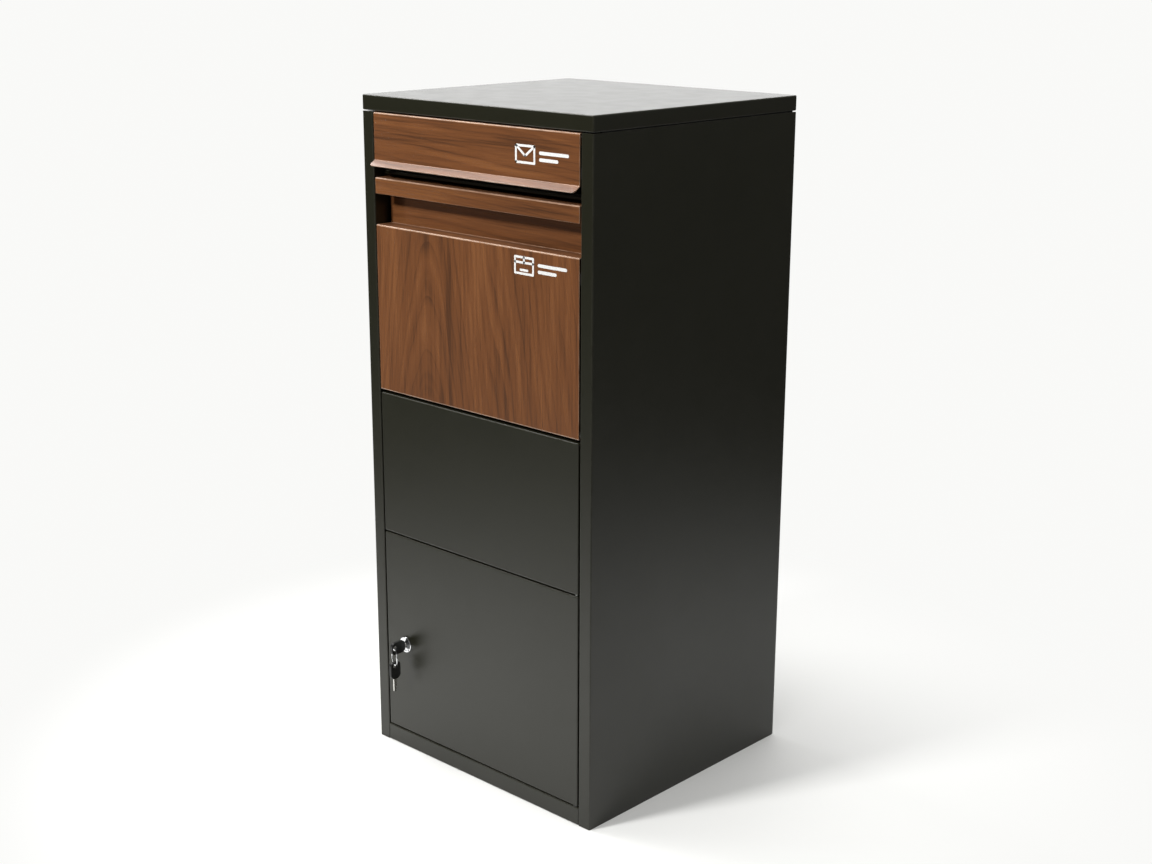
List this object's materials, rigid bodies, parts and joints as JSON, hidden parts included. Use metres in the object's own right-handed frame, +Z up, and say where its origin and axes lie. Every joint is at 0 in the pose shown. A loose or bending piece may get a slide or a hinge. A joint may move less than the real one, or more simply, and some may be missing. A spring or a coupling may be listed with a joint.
{
  "type": "letters and parcels drop box",
  "caption": "Free-standing sheet-steel drop box with a lift-up letter flap, a tilting parcel hopper door and a lockable retrieval door with keys.",
  "frame": {"origin": "middle of the base's underside, on the ground", "axes": "+Z up, +X to the right for a person facing the front, the front faces -Y"},
  "size_m": [0.45, 0.4655, 1],
  "materials": {
    "coat": "satin dark charcoal powder coat",
    "inner_coat": "satin dark charcoal powder coat, inside",
    "wood_effect": "walnut wood-effect film on steel, satin",
    "zinc": "zinc-plated steel",
    "chrome": "polished chrome",
    "key_steel": "nickel-plated steel",
    "key_plastic": "black moulded plastic",
    "rubber": "black rubber",
    "nylon": "black nylon"
  },
  "bodies": {
    "cabinet": {"left_side_panel": "coat", "right_side_panel": "coat", "back_panel": "coat", "back_rivets": "zinc", "base_panel": "coat", "compartment_mat": "rubber", "front_plinth": "coat", "middle_front_panel": "coat", "panel_spacers": "inner_coat", "lid": "coat", "lid_seal": "rubber", "lid_screws": "zinc", "top_front_rail": "inner_coat", "letter_sill": "inner_coat", "letter_chute": "inner_coat", "anti_fishing_baffle": "inner_coat", "left_side_liner": "inner_coat", "right_side_liner": "inner_coat", "stop_brackets": "inner_coat", "rubber_stops": "rubber", "hopper_stop_lugs": "inner_coat", "lock_keeper": "inner_coat", "letter_flap_pins": "zinc", "hopper_hinge_pins": "zinc", "door_hinge_pins": "zinc", "door_hinge_washer": "nylon"},
    "letter_flap": {"letter_flap": "wood_effect"},
    "parcel_hopper": {"parcel_door_skin": "wood_effect", "left_hopper_cheek": "inner_coat", "right_hopper_cheek": "inner_coat", "hopper_plate": "inner_coat", "hopper_stop_studs": "inner_coat", "hopper_bushes": "nylon"},
    "retrieval_door": {"retrieval_door": "coat", "door_stiffener": "inner_coat", "lock_barrel": "chrome", "lock_nut": "zinc"},
    "lock_plug": {"lock_plug": "chrome", "lock_cam": "zinc", "cam_screw": "zinc", "key_blade": "key_steel", "key_bow": "key_plastic"},
    "key_ring": {"key_ring": "chrome"},
    "spare_key": {"spare_key_blade": "key_steel", "spare_key_bow": "key_plastic"}
  },
  "joints": [
    {"name": "letter_flap_lift", "type": "hinge", "parent": "cabinet", "child": "letter_flap", "pos_m": [0, -0.211, 0.9715], "axis": [-1, 0, 0], "range_deg": [0, 75]},
    {"name": "parcel_door_tilt", "type": "hinge", "parent": "cabinet", "child": "parcel_hopper", "pos_m": [0, -0.2095, 0.5755], "axis": [1, 0, 0], "range_deg": [0, 50]},
    {"name": "retrieval_door_swing", "type": "hinge", "parent": "cabinet", "child": "retrieval_door", "pos_m": [0.195, -0.21, 0.187], "axis": [0, 0, 1], "range_deg": [0, 110]},
    {"name": "lock_turn", "type": "hinge", "parent": "retrieval_door", "child": "lock_plug", "pos_m": [-0.158, -0.205, 0.173], "axis": [0, 1, 0], "range_deg": [0, 90]},
    {"name": "ring_swing", "type": "hinge", "parent": "lock_plug", "child": "key_ring", "pos_m": [-0.158, -0.2398, 0.171], "axis": [-0.9272, 0.3746, 0], "range_deg": [-5, 70]},
    {"name": "spare_key_swing", "type": "hinge", "parent": "key_ring", "child": "spare_key", "pos_m": [-0.158, -0.2398, 0.147], "axis": [-0.9272, 0.3746, 0], "range_deg": [-8, 60]}
  ]
}
